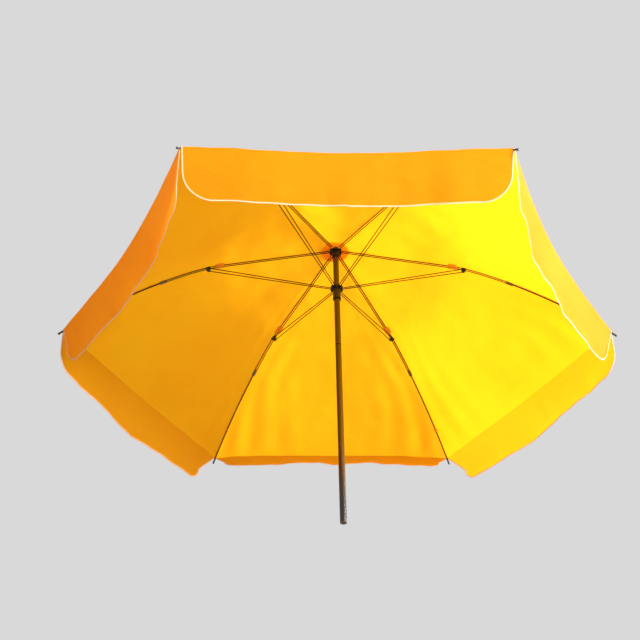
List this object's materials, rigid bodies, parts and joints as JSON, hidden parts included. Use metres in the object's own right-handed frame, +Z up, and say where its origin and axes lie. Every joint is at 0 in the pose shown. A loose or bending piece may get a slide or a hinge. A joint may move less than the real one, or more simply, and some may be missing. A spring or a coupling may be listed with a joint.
{
  "type": "beach umbrella",
  "caption": "Open round-cornered beach umbrella with a yellow cloth canopy, hanging valance and a two-piece pole.",
  "frame": {"origin": "centre of the pole's foot", "axes": "+Z up the pole to the crown, +X along rib 1 towards its end"},
  "size_m": [2.0154, 1.7464, 1.1896],
  "materials": {
    "pole": "polished",
    "wire": "satin",
    "ferrule": "satin",
    "black_plastic": "matte",
    "foot_plastic": "matte",
    "canopy_cloth": "woven, lets light through"
  },
  "bodies": {
    "pole": {"upper_pole": "pole", "lower_pole": "pole", "pole_splice": "pole", "crown": "black_plastic", "crown_ring": "wire", "crown_pin": "wire", "top_cap": "black_plastic", "crown_patch": "canopy_cloth", "foot_bush": "foot_plastic"},
    "runner": {"runner": "black_plastic"},
    "catch": {"runner_catch": "wire"},
    "rib_1": {"rib_wires_1": "wire", "rib_ferrule_1": "ferrule", "rib_rod_1": "wire", "rib_tip_1": "black_plastic", "joint_clip_1": "black_plastic", "canopy_panel_1": "canopy_cloth"},
    "stretcher_1": {"stretcher_1": "wire"},
    "valance_1": {"valance_1": "canopy_cloth"},
    "rib_2": {"rib_wires_2": "wire", "rib_ferrule_2": "ferrule", "rib_rod_2": "wire", "rib_tip_2": "black_plastic", "joint_clip_2": "black_plastic", "canopy_panel_2": "canopy_cloth"},
    "stretcher_2": {"stretcher_2": "wire"},
    "valance_2": {"valance_2": "canopy_cloth"},
    "rib_3": {"rib_wires_3": "wire", "rib_ferrule_3": "ferrule", "rib_rod_3": "wire", "rib_tip_3": "black_plastic", "joint_clip_3": "black_plastic", "canopy_panel_3": "canopy_cloth"},
    "stretcher_3": {"stretcher_3": "wire"},
    "valance_3": {"valance_3": "canopy_cloth"},
    "rib_4": {"rib_wires_4": "wire", "rib_ferrule_4": "ferrule", "rib_rod_4": "wire", "rib_tip_4": "black_plastic", "joint_clip_4": "black_plastic", "canopy_panel_4": "canopy_cloth"},
    "stretcher_4": {"stretcher_4": "wire"},
    "valance_4": {"valance_4": "canopy_cloth"},
    "rib_5": {"rib_wires_5": "wire", "rib_ferrule_5": "ferrule", "rib_rod_5": "wire", "rib_tip_5": "black_plastic", "joint_clip_5": "black_plastic", "canopy_panel_5": "canopy_cloth"},
    "stretcher_5": {"stretcher_5": "wire"},
    "valance_5": {"valance_5": "canopy_cloth"},
    "rib_6": {"rib_wires_6": "wire", "rib_ferrule_6": "ferrule", "rib_rod_6": "wire", "rib_tip_6": "black_plastic", "joint_clip_6": "black_plastic", "canopy_panel_6": "canopy_cloth"},
    "stretcher_6": {"stretcher_6": "wire"},
    "valance_6": {"valance_6": "canopy_cloth"}
  },
  "joints": [
    {"name": "runner_slide", "type": "slide", "parent": "pole", "child": "runner", "axis": [0, 0, -1], "range_m": [0, 0.7427], "deforming": ["runner_catch"]},
    {"name": "rib_hinge_1", "type": "hinge", "parent": "pole", "child": "rib_1", "pos_m": [0.019, 0, 1.17], "axis": [0, 1, 0], "range_deg": [-0.1, 66.7], "deforming": ["canopy_panel_1"]},
    {"name": "stretcher_hinge_1", "type": "hinge", "parent": "rib_1", "child": "stretcher_1", "pos_m": [0.486, 0, 1.07505], "axis": [0, 1, 0], "range_deg": [-133.4, 0.2]},
    {"name": "valance_hang_1", "type": "hinge", "parent": "rib_1", "child": "valance_1", "pos_m": [1, 0, 0.762], "axis": [0, 1, 0], "range_deg": [-66.7, 0.1], "deforming": ["valance_1"]},
    {"name": "rib_hinge_2", "type": "hinge", "parent": "pole", "child": "rib_2", "pos_m": [0.0095, 0.01645, 1.17], "axis": [-0.866, 0.5, 0], "range_deg": [-0.1, 66.7], "deforming": ["canopy_panel_2"]},
    {"name": "stretcher_hinge_2", "type": "hinge", "parent": "rib_2", "child": "stretcher_2", "pos_m": [0.243, 0.42089, 1.07505], "axis": [-0.866, 0.5, 0], "range_deg": [-133.4, 0.2]},
    {"name": "valance_hang_2", "type": "hinge", "parent": "rib_2", "child": "valance_2", "pos_m": [0.5, 0.86603, 0.762], "axis": [-0.866, 0.5, 0], "range_deg": [-66.7, 0.1], "deforming": ["valance_2"]},
    {"name": "rib_hinge_3", "type": "hinge", "parent": "pole", "child": "rib_3", "pos_m": [-0.0095, 0.01645, 1.17], "axis": [-0.866, -0.5, 0], "range_deg": [-0.1, 66.7], "deforming": ["canopy_panel_3"]},
    {"name": "stretcher_hinge_3", "type": "hinge", "parent": "rib_3", "child": "stretcher_3", "pos_m": [-0.243, 0.42089, 1.07505], "axis": [-0.866, -0.5, 0], "range_deg": [-133.4, 0.2]},
    {"name": "valance_hang_3", "type": "hinge", "parent": "rib_3", "child": "valance_3", "pos_m": [-0.5, 0.86603, 0.762], "axis": [-0.866, -0.5, 0], "range_deg": [-66.7, 0.1], "deforming": ["valance_3"]},
    {"name": "rib_hinge_4", "type": "hinge", "parent": "pole", "child": "rib_4", "pos_m": [-0.019, 0, 1.17], "axis": [0, -1, 0], "range_deg": [-0.1, 66.7], "deforming": ["canopy_panel_4"]},
    {"name": "stretcher_hinge_4", "type": "hinge", "parent": "rib_4", "child": "stretcher_4", "pos_m": [-0.486, 0, 1.07505], "axis": [0, -1, 0], "range_deg": [-133.4, 0.2]},
    {"name": "valance_hang_4", "type": "hinge", "parent": "rib_4", "child": "valance_4", "pos_m": [-1, 0, 0.762], "axis": [0, -1, 0], "range_deg": [-66.7, 0.1], "deforming": ["valance_4"]},
    {"name": "rib_hinge_5", "type": "hinge", "parent": "pole", "child": "rib_5", "pos_m": [-0.0095, -0.01645, 1.17], "axis": [0.866, -0.5, 0], "range_deg": [-0.1, 66.7], "deforming": ["canopy_panel_5"]},
    {"name": "stretcher_hinge_5", "type": "hinge", "parent": "rib_5", "child": "stretcher_5", "pos_m": [-0.243, -0.42089, 1.07505], "axis": [0.866, -0.5, 0], "range_deg": [-133.4, 0.2]},
    {"name": "valance_hang_5", "type": "hinge", "parent": "rib_5", "child": "valance_5", "pos_m": [-0.5, -0.86603, 0.762], "axis": [0.866, -0.5, 0], "range_deg": [-66.7, 0.1], "deforming": ["valance_5"]},
    {"name": "rib_hinge_6", "type": "hinge", "parent": "pole", "child": "rib_6", "pos_m": [0.0095, -0.01645, 1.17], "axis": [0.866, 0.5, 0], "range_deg": [-0.1, 66.7], "deforming": ["canopy_panel_6"]},
    {"name": "stretcher_hinge_6", "type": "hinge", "parent": "rib_6", "child": "stretcher_6", "pos_m": [0.243, -0.42089, 1.07505], "axis": [0.866, 0.5, 0], "range_deg": [-133.4, 0.2]},
    {"name": "valance_hang_6", "type": "hinge", "parent": "rib_6", "child": "valance_6", "pos_m": [0.5, -0.86603, 0.762], "axis": [0.866, 0.5, 0], "range_deg": [-66.7, 0.1], "deforming": ["valance_6"]},
    {"name": "catch_press", "type": "slide", "parent": "pole", "child": "catch", "axis": [0, -1, 0], "range_m": [0, 0.0029], "stiffness_N_per_m": 1500}
  ],
  "couplings": [
    {"joint": "rib_hinge_1", "follows": "runner_slide", "rad_per_m": 1.5651},
    {"joint": "stretcher_hinge_1", "follows": "runner_slide", "rad_per_m": -3.1302},
    {"joint": "valance_hang_1", "follows": "runner_slide", "rad_per_m": -1.5651},
    {"joint": "rib_hinge_2", "follows": "runner_slide", "rad_per_m": 1.5651},
    {"joint": "stretcher_hinge_2", "follows": "runner_slide", "rad_per_m": -3.1302},
    {"joint": "valance_hang_2", "follows": "runner_slide", "rad_per_m": -1.5651},
    {"joint": "rib_hinge_3", "follows": "runner_slide", "rad_per_m": 1.5651},
    {"joint": "stretcher_hinge_3", "follows": "runner_slide", "rad_per_m": -3.1302},
    {"joint": "valance_hang_3", "follows": "runner_slide", "rad_per_m": -1.5651},
    {"joint": "rib_hinge_4", "follows": "runner_slide", "rad_per_m": 1.5651},
    {"joint": "stretcher_hinge_4", "follows": "runner_slide", "rad_per_m": -3.1302},
    {"joint": "valance_hang_4", "follows": "runner_slide", "rad_per_m": -1.5651},
    {"joint": "rib_hinge_5", "follows": "runner_slide", "rad_per_m": 1.5651},
    {"joint": "stretcher_hinge_5", "follows": "runner_slide", "rad_per_m": -3.1302},
    {"joint": "valance_hang_5", "follows": "runner_slide", "rad_per_m": -1.5651},
    {"joint": "rib_hinge_6", "follows": "runner_slide", "rad_per_m": 1.5651},
    {"joint": "stretcher_hinge_6", "follows": "runner_slide", "rad_per_m": -3.1302},
    {"joint": "valance_hang_6", "follows": "runner_slide", "rad_per_m": -1.5651}
  ]
}
